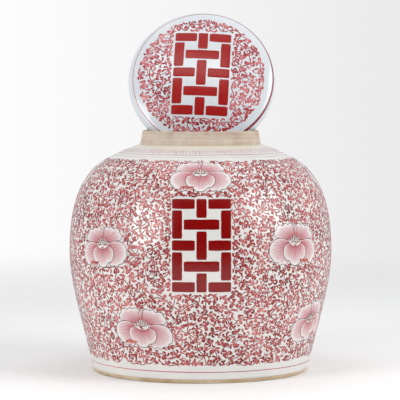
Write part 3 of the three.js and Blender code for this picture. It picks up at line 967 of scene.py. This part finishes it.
# ---------------------------------------------------------------------------------------------
# Stamens and bracts of the flowers. Rice-shaped dabs of opaque white enamel over small dark dabs,
# two white strokes like a bowl under them, and a few hot orange-red feather strokes at the petals'
# lower edges.
# ---------------------------------------------------------------------------------------------
STAMEN_LIFT = 0.36
STAMEN_SHADOW_LIFT = 0.31
BRACT_LIFT = 0.24
STAMEN_ROWS = ((6.6, 7, 1.15), (4.2, 5, 0.95), (2.2, 3, 0.7))  # reach, count, spread either way
grains, grain_shadows, feathers = [], [], []
for bloom in blooms:
    for row_reach, count, spread in STAMEN_ROWS:
        for turn in np.linspace(-spread, spread, count):
            turn += seeded.normal(0, 0.06)
            way = np.array([math.sin(turn), math.cos(turn)])
            start = way * (row_reach - 1.0) * np.array([1.15, 0.85]) + np.array([0, -0.8])
            line = start + np.linspace(0, 2.0, 4)[:, None] * way
            grains.append((bloom.lay(line), np.array([0.45, 1.0, 1.05, 0.5]), np.full(4, 0.1)))
            halo = start - 0.35 * way + np.linspace(0, 2.7, 4)[:, None] * way
            grain_shadows.append((bloom.lay(halo), np.array([0.7, 1.75, 1.8, 0.8]), np.full(4, 0.7)))
    for side in (-1, 1):
        bowl = smooth_line(((7.6 * side, 0.6), (5.2 * side, -1.9), (2.6 * side, -3.0), (0.6 * side, -3.6)), 3)
        grains.append((bloom.lay(bowl), 1.35 * np.sin(np.linspace(0.35, 2.9, len(bowl))),
                       np.full(len(bowl), 0.1)))
        under = bowl + np.array([0, -0.75])
        grain_shadows.append((bloom.lay(under), np.full(len(bowl), 0.8), np.full(len(bowl), 0.8)))
    for x in np.linspace(-21, -10, 7):
        foot = np.array([x, -20.3 + 0.6 * seeded.random()])
        sweep = smooth_line((foot, foot + (2.2, 3.0), foot + (5.2, 4.6)), 2)
        feathers.append((bloom.lay(sweep), np.array([0.4, 1.0, 1.3, 1.0, 0.4]),
                         np.full(5, seeded.uniform(0.3, 0.9))))


def dab_white(name):
    """Opaque white enamel that stands up in small dabs."""
    enamel, tree, spot = new_material(name)
    cloud = add_node(tree, "ShaderNodeTexNoise", Vector=spot, Scale=pattern_scale(3.3),
                     Detail=2.0).outputs["Fac"]
    tint = add_node(tree, "ShaderNodeMix", {"data_type": "RGBA"}, Factor=cloud, in_6="#F1EFE8",
                    in_7="#E4E2DC")
    surface = add_node(tree, "ShaderNodeBsdfPrincipled", Base_Color=tint.outputs[2], Roughness=0.22)
    add_node(tree, "ShaderNodeOutputMaterial", Surface=surface.outputs[0])
    return enamel


brush_on("flower_stamen_shadows", jar_surface, grain_shadows, outline_red, STAMEN_SHADOW_LIFT)
stamens = brush_on("flower_stamens", jar_surface, grains, dab_white("stamen_white"), STAMEN_LIFT)
feather_red = brushed_red("bract_orange_red", "#D98470", "#C2503E", "#93261C")
brush_on("flower_bracts", jar_surface, feathers, feather_red, BRACT_LIFT)


# ---------------------------------------------------------------------------------------------
# Scrollwork on the jar. Iron-red enamel brushed on by hand: thin dark stems that branch and curl,
# with clusters of comma-shaped leaves, each one stroke of a full brush that starts thin and pools
# at its hooked tip. It fills the wall, and leaves the flowers and the emblems clear.
# ---------------------------------------------------------------------------------------------
SCROLL_FROM_HEIGHT = 17.5
SCROLL_TO_HEIGHT = 213.0
SCROLL_SPACING = 7.6
CELL = 0.5
BRUSH_SPOTS = 22
spot_number = np.arange(BRUSH_SPOTS) + 0.5
spot_reach, spot_turn = np.sqrt(spot_number / BRUSH_SPOTS), spot_number * math.pi * (3 - math.sqrt(5))
BRUSH_DISC = np.stack([np.cos(spot_turn), np.sin(spot_turn)], 1) * spot_reach[:, None]


class PaintCloth:
    """The painted surface laid flat, in millimetres, with what is painted so far and what is kept clear."""

    def __init__(self, low, high, stretch, wraps):
        self.low, self.high, self.stretch, self.wraps = np.array(low), np.array(high), stretch, wraps
        self.width = self.high[0] - self.low[0]
        self.shape = tuple(np.ceil((self.high - self.low) / CELL).astype(int))
        middles = [self.low[i] + (np.arange(n) + 0.5) * CELL for i, n in enumerate(self.shape)]
        self.across, self.along = np.meshgrid(*middles, indexing="ij")
        self.paint = np.zeros(self.shape, bool)
        self.clear = np.zeros(self.shape, bool)

    def keep_clear(self, outline):
        """Keeps the inside of a closed outline clear of scrollwork."""
        low, high = (np.floor((f(outline, axis=0) - self.low) / CELL).astype(int) for f in (np.min, np.max))
        rows = np.arange(low[0], high[0] + 2)
        columns = np.arange(max(low[1], 0), min(high[1] + 2, self.shape[1]))
        x = (self.low[0] + (rows + 0.5) * CELL)[:, None]
        y = (self.low[1] + (columns + 0.5) * CELL)[None, :]
        inside = np.zeros((len(rows), len(columns)), bool)
        for (x0, y0), (x1, y1) in zip(outline, np.roll(outline, -1, axis=0)):
            if y0 != y1:
                inside ^= ((y0 > y) != (y1 > y)) & (x < (x1 - x0) * (y - y0) / (y1 - y0) + x0)
        self.clear[np.ix_(self.on_cloth(rows), columns)] |= inside

    def on_cloth(self, rows):
        """Row numbers brought onto the cloth: round the jar where it wraps, else to its edge."""
        return rows % self.shape[0] if self.wraps else np.clip(rows, 0, self.shape[0] - 1)

    def spread(self, layer, margin):
        """A layer grown by a margin on every side."""
        grown_layer, steps = layer.copy(), round(margin / CELL)
        for _ in range(steps):
            grown_layer[1:] |= grown_layer[:-1].copy()
            grown_layer[:-1] |= grown_layer[1:].copy()
        for _ in range(steps):
            grown_layer[:, 1:] |= grown_layer[:, :-1].copy()
            grown_layer[:, :-1] |= grown_layer[:, 1:].copy()
        return grown_layer

    def cells(self, points):
        index = np.floor((points - self.low) / CELL).astype(int)
        if self.wraps:
            index[:, 0] %= self.shape[0]
        on = ((index >= 0) & (index < self.shape)).all(1)
        return np.clip(index, 0, np.array(self.shape) - 1), on

    def share(self, layer, points):
        """The share of points that fall on marked cells or off the cloth."""
        index, on = self.cells(points)
        return float((layer[index[:, 0], index[:, 1]] | ~on).mean())

    def brushed(self, points, widths):
        """Points that cover the marks of a brush."""
        reach = BRUSH_DISC * (np.asarray(widths)[:, None, None] / 2)
        spots = np.repeat(points[:, None, :], BRUSH_SPOTS, axis=1) + reach / np.stack(
            [self.stretch(points[:, 1]), np.ones(len(points))], 1)[:, None, :]
        return spots.reshape(-1, 2)

    def stamp(self, points, widths):
        index, on = self.cells(self.brushed(points, widths))
        self.paint[index[on, 0], index[on, 1]] = True

    def gap(self, first, second):
        """Real offsets from the first place to the second ones."""
        across = second[..., 0] - first[0]
        if self.wraps:
            across = (across + self.width / 2) % self.width - self.width / 2
        along = second[..., 1] - first[1]
        return np.stack([across * self.stretch(first[1] + along / 2), along], -1)

    def moved(self, place, offsets):
        """Places at real offsets from a place."""
        offsets = np.atleast_2d(offsets)
        return np.stack([place[0] + offsets[:, 0] / self.stretch(place[1] + offsets[:, 1] / 2),
                         place[1] + offsets[:, 1]], 1)

    def even_places(self, taken, spacing, random):
        """Places scattered no nearer to each other than the spacing, until no free cell is left."""
        taken, places = taken.copy(), []
        order = random.permutation(taken.size)
        tall = math.ceil(spacing / CELL)
        for chunk in np.array_split(order, 90):
            rows, columns = np.unravel_index(chunk, self.shape)
            free = ~taken[rows, columns]
            for row, column in zip(rows[free].tolist(), columns[free].tolist()):
                if taken[row, column]:
                    continue
                place = self.low + (np.array([row, column]) + 0.5) * CELL
                places.append(place)
                stretch = float(self.stretch(place[1]))
                wide = math.ceil(spacing / stretch / CELL)
                near_rows = np.arange(row - wide, row + wide + 1)
                near_columns = np.arange(max(column - tall, 0), min(column + tall + 1, self.shape[1]))
                apart = ((near_rows - row)[:, None] * stretch) ** 2 + (near_columns - column) ** 2
                near = apart < (spacing / CELL) ** 2
                taken[np.ix_(self.on_cloth(near_rows), near_columns)] |= near
        return np.array(places).reshape(-1, 2)


def turn_between(first, second):
    return (second - first + math.pi) % math.tau - math.pi


def bezier(leave, arrive, end, steps):
    t = np.linspace(0, 1, steps)[:, None]
    return 3 * (1 - t) ** 2 * t * leave + 3 * (1 - t) * t ** 2 * arrive + t ** 3 * end


LEAF_STEPS = np.linspace(0, 1, 6)
LEAF_TURNS = ((LEAF_STEPS[1:] + LEAF_STEPS[:-1]) / 2) ** 1.8


class Scrollwork:
    """Strokes that fill a cloth: stems grown as a branching vine between evenly scattered places, with a
    cluster of comma leaves at each place. A stroke is its points, widths and tones (0 pale, 1 dark)."""
    LEAF_WIDTHS = np.array([0.8, 1.15, 1.55, 1.9, 1.95, 1.15])
    LEAF_TONES = np.array([-0.1, -0.1, -0.02, 0.12, 0.32, 0.5])

    def __init__(self, cloth, spacing, seed, leaf_scale=1.0, fill_spacing=4.3):
        self.cloth, self.spacing, self.leaf_scale = cloth, spacing, leaf_scale
        self.random = np.random.default_rng(seed)
        self.stems, self.leaves = [], []
        self.places = cloth.even_places(cloth.spread(cloth.clear, 1.5), spacing, self.random)
        self.branch()
        self.draw_stems()
        self.draw_leaves()
        self.fill_gaps(fill_spacing)

    def branch(self):
        """Joins each place to a near place that is joined already, so that all hang on a few long vines."""
        places, cloth = self.places, self.cloth
        count = len(places)
        self.parent = np.full(count, -1)
        best = np.full(count, np.inf)
        source = np.full(count, -1)
        joined = np.zeros(count, bool)
        self.order = []
        for _ in range(count):
            here = int(np.where(joined, np.inf, best).argmin())
            if joined[here] or not np.isfinite(best[here]):
                here = int(self.random.choice(np.flatnonzero(~joined)))
                source[here] = -1
            joined[here] = True
            self.parent[here] = source[here]
            self.order.append(here)
            gap = cloth.gap(places[here], places)
            distance = np.hypot(gap[:, 0], gap[:, 1])
            for there in np.flatnonzero(~joined & (distance < 1.9 * self.spacing) & (distance < best)):
                between = cloth.moved(places[here], np.linspace(0.2, 0.8, 4)[:, None] * gap[there])
                if cloth.share(cloth.clear, between) == 0:
                    best[there] = distance[there] * self.random.uniform(0.7, 1.3)
                    source[there] = here
        self.weight = np.ones(count)
        for here in reversed(self.order):
            if self.parent[here] >= 0:
                self.weight[self.parent[here]] += self.weight[here]

    def draw_stems(self):
        places, cloth = self.places, self.cloth
        self.heading = self.random.uniform(0, math.tau, len(places))
        self.children = [[] for _ in places]
        for here in self.order:
            if self.parent[here] >= 0:
                self.children[self.parent[here]].append(here)
        for here in self.order:
            above, below = self.parent[here], self.children[here]
            inward = outward = None
            if above >= 0:
                gap = cloth.gap(places[above], places[here])
                inward = math.atan2(gap[1], gap[0])
            if below:
                gap = cloth.gap(places[here], places[max(below, key=lambda child: self.weight[child])])
                outward = math.atan2(gap[1], gap[0])
                self.heading[here] = outward
                if inward is not None:
                    self.heading[here] = inward + 0.5 * turn_between(inward, outward)
            elif above >= 0:
                self.heading[here] = inward + self.random.choice([-1, 1]) * self.random.uniform(0.3, 0.9)
        for here in self.order:
            above = self.parent[here]
            if above < 0:
                continue
            gap = cloth.gap(places[above], places[here])
            length, straight = math.hypot(*gap), math.atan2(gap[1], gap[0])
            swing = turn_between(straight, self.heading[above])
            leave = straight + math.copysign(min(abs(swing), self.random.uniform(0.7, 1.15)), swing)
            arrive = straight + float(np.clip(turn_between(straight, self.heading[here]), -0.95, 0.95))
            start = np.array([math.cos(leave), math.sin(leave)]) * 0.42 * length
            end = gap - np.array([math.cos(arrive), math.sin(arrive)]) * 0.42 * length
            points = cloth.moved(places[above], bezier(start, end, gap, 7))
            thick, thick_above = (min(0.85 + 0.07 * math.log(self.weight[i]), 1.25) for i in (here, above))
            widths = np.linspace(min(thick_above, thick + 0.25), thick, 7)
            tones = np.full(7, min(0.40 + 0.07 * math.log(self.weight[here]),
                                   0.8) + self.random.uniform(-0.15, 0.1))
            self.stems.append((points, widths, tones))
            cloth.stamp(points, widths)

    def leaf(self, root, angle, length, curl, tone, allowed):
        """Adds one comma leaf if there is room for it, and says if it did."""
        cloth = self.cloth
        heading = angle + curl * LEAF_TURNS
        steps = np.stack([np.cos(heading), np.sin(heading)], 1) * (length / (len(LEAF_STEPS) - 1))
        points = cloth.moved(root, np.concatenate([np.zeros((1, 2)), np.cumsum(steps, axis=0)]))
        widths = self.LEAF_WIDTHS * min(length / 5.0, 1.15)
        body = cloth.brushed(points[1:], widths[1:] + 0.4)
        if cloth.share(cloth.clear, body) > 0.03 or cloth.share(cloth.paint, body[BRUSH_SPOTS:]) > allowed:
            return False
        tones = tone + self.LEAF_TONES * self.random.uniform(0.5, 1.1)
        self.leaves.append((points, widths, tones))
        self.pending.append((points, widths))
        return True

    def draw_leaves(self):
        """A cluster at each place: side leaves that hook back, and a leading leaf where a stem ends."""
        for here in self.random.permutation(len(self.places)):
            self.pending = []
            place, heading = self.places[here], self.heading[here]
            size = self.random.uniform(0.9, 1.2) * self.spacing * 0.78
            tone = self.random.uniform(0.1, 0.6)
            angles = [0.8, -0.8, 2.0, -2.0] if self.children[here] else [0.1, 1.1, -1.0, 2.1, -2.1]
            for angle in angles:
                side = math.copysign(1, angle) if abs(angle) > 0.2 else self.random.choice([-1, 1])
                bend = side * self.random.uniform(2.0, 3.6)
                way = heading + angle + self.random.uniform(-0.25, 0.25)
                for length, curl in ((size, bend), (size, -bend), (size * 0.75, bend), (size * 0.65, -bend)):
                    if self.leaf(place, way, length, curl, tone, 0.14):
                        break
            for points, widths in self.pending:
                self.cloth.stamp(points, widths)

    def sprig(self, place):
        """A thin bowed stem from the nearest vine to a place."""
        cloth = self.cloth
        gap = cloth.gap(place, self.places)
        gap = gap[np.hypot(gap[:, 0], gap[:, 1]).argmin()]
        bow = np.array([-gap[1], gap[0]]) * self.random.choice([-1, 1]) * self.random.uniform(0.2, 0.5)
        points = cloth.moved(place, bezier(0.3 * gap + bow, 0.7 * gap + bow, gap, 5))
        if cloth.share(cloth.clear, points) == 0:
            self.stems.append((points, np.linspace(0.6, 0.85, 5), np.full(5, self.random.uniform(0.2, 0.5))))

    def fill_gaps(self, spacing):
        """Small hooked leaves in every patch that is still bare."""
        cloth = self.cloth
        busy = cloth.spread(cloth.paint, 1.0) | cloth.spread(cloth.clear, 1.0)
        for place in cloth.even_places(busy, spacing, self.random):
            self.pending = []
            self.sprig(place)
            tone, angle = self.random.uniform(0.1, 0.55), self.random.uniform(0, math.tau)
            curl = self.random.choice([-1, 1]) * self.random.uniform(2.2, 3.8)
            for turn in (0.0, 2.1, 4.2):
                way = angle + turn
                root = cloth.moved(place, np.array([math.cos(way), math.sin(way)]) * -1.5)[0]
                length = self.random.uniform(4.2, 5.6) * self.leaf_scale
                if any(self.leaf(root, way, length, bend, tone, 0.2) for bend in (curl, -curl)):
                    break
            for points, widths in self.pending:
                cloth.stamp(points, widths)


def rectangle(centre, size, margin, turn=0.0):
    """The corners of an upright rectangle, grown by a margin and turned."""
    half_width, half_height = size[0] / 2 + margin, size[1] / 2 + margin
    corners = np.array([(-half_width, -half_height), (half_width, -half_height), (half_width, half_height),
                        (-half_width, half_height)])
    spin = np.array([[math.cos(turn), math.sin(turn)], [-math.sin(turn), math.cos(turn)]])
    return corners @ spin + centre


scroll_low, scroll_high = outside.at_height(SCROLL_FROM_HEIGHT), outside.at_height(SCROLL_TO_HEIGHT)
half_round = math.pi * PAPER_RADIUS
wall_cloth = PaintCloth((-half_round, scroll_low), (half_round, scroll_high), wall_stretch, wraps=True)
emblem_edges = [rectangle(centre, EMBLEM_SIZE, 1.0) for centre in (front_centre, back_centre)]
for edge in (*emblem_edges, *petal_edges):
    wall_cloth.keep_clear(edge)
scroll = Scrollwork(wall_cloth, SCROLL_SPACING, seed=7)
leaf_red = brushed_red("iron_red_leaf_wash", "#CC7876", "#9E2A2C", "#5C0C11")
stem_red = brushed_red("iron_red_stem_line", "#B0504E", "#8C2829", "#5A1013")
brush_on("scroll_stems", jar_surface, scroll.stems, stem_red)


def side_of(stroke):
    """Which quarter of the jar a stroke is on: 0 in front, then to the right, behind and to the left."""
    return round(stroke[0][0, 0] / (half_round / 2)) % 4


for number, side_name in enumerate(("front", "right", "back", "left")):
    here = [stroke for stroke in scroll.leaves if side_of(stroke) == number]
    brush_on("scroll_leaves_" + side_name, jar_surface, here, leaf_red)


# ---------------------------------------------------------------------------------------------
# Scrollwork on the lid. The same brushed vine, drawn a little larger and more open, round the
# emblem and inside the white ring that is left at the lid's edge.
# ---------------------------------------------------------------------------------------------
LID_SCROLL_RADIUS = 65.0
lid_cloth = PaintCloth((-LID_SCROLL_RADIUS - 2,) * 2, (LID_SCROLL_RADIUS + 2,) * 2, no_stretch, wraps=False)
lid_cloth.clear |= np.hypot(lid_cloth.across, lid_cloth.along) > LID_SCROLL_RADIUS
lid_cloth.keep_clear(rectangle(LID_EMBLEM_CENTRE, EMBLEM_SIZE, 1.2, LID_EMBLEM_TURN))
lid_scroll = Scrollwork(lid_cloth, 8.4, seed=12, leaf_scale=1.1, fill_spacing=4.4)
# Painted haze: the lid's leaves and stems are the jar's iron reds painted lighter, for the soft reflection of
# light on the upturned lid.
lid_leaf_red_painted_haze = brushed_red("lid_leaf_wash_painted_haze", "#D58488", "#B03A42", "#741420")
lid_stem_red_painted_haze = brushed_red("lid_stem_line_painted_haze", "#C4686A", "#A4363C", "#6C141E")
brush_on("lid_scroll_stems", lid_surface, lid_scroll.stems, lid_stem_red_painted_haze)
brush_on("lid_scroll_leaves", lid_surface, lid_scroll.leaves, lid_leaf_red_painted_haze)


# ---------------------------------------------------------------------------------------------
# Key-fret border on the shoulder. Twenty pairs of square spirals, brushed thin and pale between
# two ruled lines just outside the collar.
# ---------------------------------------------------------------------------------------------
FRET_REPEATS = 20
FRET_INNER_RADIUS = 70.5
FRET_OUTER_RADIUS = 81.0
FRET_MARGIN = 1.2
FRET_BREADTH = 0.95
FRET_TONE = 0.35
FRET_SPIRAL = ((0.04, 0.12), (0.04, 0.86), (0.44, 0.86), (0.44, 0.30), (0.16, 0.30), (0.16, 0.62),
               (0.31, 0.62),
               (0.31, 0.50))


def arc_at_radius(radius):
    """Arc length on the shoulder where the wall has this radius."""
    above = outside.points[:, 1] > BELLY_HEIGHT
    return float(np.interp(radius, outside.points[above, 0][::-1], outside.lengths[above][::-1]))


def fret_tree():
    """Repeats one pair of spirals round the shoulder, then lays the strokes on the wall."""
    tree, given, outline = tree_on_outline("fret_border", Repeats="Int")
    step = add_node(tree, "ShaderNodeMath:DIVIDE", in_0=math.tau, in_1=given["Repeats"]).outputs[0]
    shift = add_node(tree, "ShaderNodeCombineXYZ", X=step).outputs[0]
    row = add_node(tree, "GeometryNodeMeshLine", Count=given["Repeats"], Offset=shift)
    copies = add_node(tree, "GeometryNodeInstanceOnPoints", Points=row.outputs[0], Instance=given["Geometry"])
    real = add_node(tree, "GeometryNodeRealizeInstances", Geometry=copies.outputs[0])
    lines = add_node(tree, "GeometryNodeMeshToCurve", Mesh=real.outputs[0]).outputs[0]
    return end_tree(tree, swept_marks(tree, lines, outline, given), given["Finish"])


fret_low, fret_high = arc_at_radius(FRET_OUTER_RADIUS), arc_at_radius(FRET_INNER_RADIUS)
fret_width = math.tau * PAPER_RADIUS / FRET_REPEATS
fret_depth = fret_high - fret_low - 2 * FRET_MARGIN
fret_strokes = []
for corners in (np.array(FRET_SPIRAL), np.array(FRET_SPIRAL) * (-1, 1) + (1, 0)):
    legs = [a + np.linspace(0, 1, 4)[:-1, None] * (b - a) for a, b in zip(corners, corners[1:])]
    across, along = np.vstack([*legs, corners[-1:]]).T
    places = np.stack([across * fret_width, fret_low + FRET_MARGIN + along * fret_depth], 1)
    fret_strokes.append((places, np.full(len(places), FRET_BREADTH), np.full(len(places), FRET_TONE)))
fret_red = brushed_red("fret_pale_red", "#D6B7B4", "#BE8B88", "#96545A")
fret_mesh = stroke_mesh("fret", fret_strokes, turn_and_arc_on_wall, 0.03)
jar_surface.lay("shoulder_fret_border", fret_tree(), fret_mesh, fret_red, Repeats=FRET_REPEATS)


# ---------------------------------------------------------------------------------------------
# Banding lines on the jar. Rings drawn with a loaded brush while the jar turned on a banding wheel:
# one above the foot, two at the top of the scrollwork, and one on each side of the fret border.
# ---------------------------------------------------------------------------------------------
RING_POINTS = 145


def band_line(arc, breadth, tone, random, waver=0.12):
    """A ring at an arc length, that wavers a little and closes on itself."""
    turn = np.linspace(0, math.tau, RING_POINTS)
    phases = random.uniform(0, math.tau, 4)
    drift = sum(np.sin((k + 1) * turn + phase) / (k + 1) for k, phase in enumerate(phases))
    pressure = 1 + 0.16 * np.sin(3 * turn + phases[0]) + 0.1 * np.sin(7 * turn + phases[1])
    return np.stack([turn * PAPER_RADIUS, arc + waver * drift],
                    1), breadth * pressure, tone + 0.15 * np.sin(2 * turn)


banding = np.random.default_rng(33)
foot_lines = [band_line(outside.at_height(11.5), 0.9, 0.45, banding)]
foot_line_red = brushed_red("foot_line_red", "#D08C8C", "#B65A5E", "#83303A")
brush_on("foot_band_line", jar_surface, foot_lines, foot_line_red)
shoulder_rows = ((outside.at_height(216.0), 0.55, 0.4), (outside.at_height(218.0), 0.8, 0.5),
                 (fret_low, 0.6, 0.35), (fret_high, 0.7, 0.35))
shoulder_lines = [band_line(arc, breadth, tone, banding) for arc, breadth, tone in shoulder_rows]
shoulder_line_red = brushed_red("shoulder_line_red", "#CDBBBB", "#B59596", "#8C6468")
brush_on("shoulder_band_lines", jar_surface, shoulder_lines, shoulder_line_red)


# ---------------------------------------------------------------------------------------------
# Red line at the lid's edge. A single ring banded by hand a little off the lid's centre, thin and grey where
# the brush was lifting, and broad and dark towards the lower right, where the brush was set down and painted
# shadow is added to it.
# ---------------------------------------------------------------------------------------------
LID_LINE_RISE = 7.7
LID_LINE_OFF_CENTRE = 1.7
LID_LINE_DARKEST = math.radians(50)
lid_turn = np.linspace(0, math.tau, RING_POINTS)
line_reach = lid_outside.lengths[-1] - lid_outside.at_height(LID_LINE_RISE)
# Brush load and painted shadow: the line is broadest and darkest towards the lower right, partly from the
# brush and partly as painted shadow at the lid's edge.
load = 0.5 + 0.5 * np.cos(lid_turn - LID_LINE_DARKEST)
ring_reach = line_reach + LID_LINE_OFF_CENTRE * np.sin(lid_turn) + 0.1 * np.sin(5 * lid_turn)
ring_places = np.stack([ring_reach * np.sin(lid_turn), -ring_reach * np.cos(lid_turn)], 1)
lid_line = [(ring_places, 0.75 + 1.7 * load ** 3, 0.25 + 0.6 * load)]
brush_on("lid_edge_line", lid_surface, lid_line, brushed_red("lid_line_red", "#B48C94", "#A24A55", "#7C1B28"))
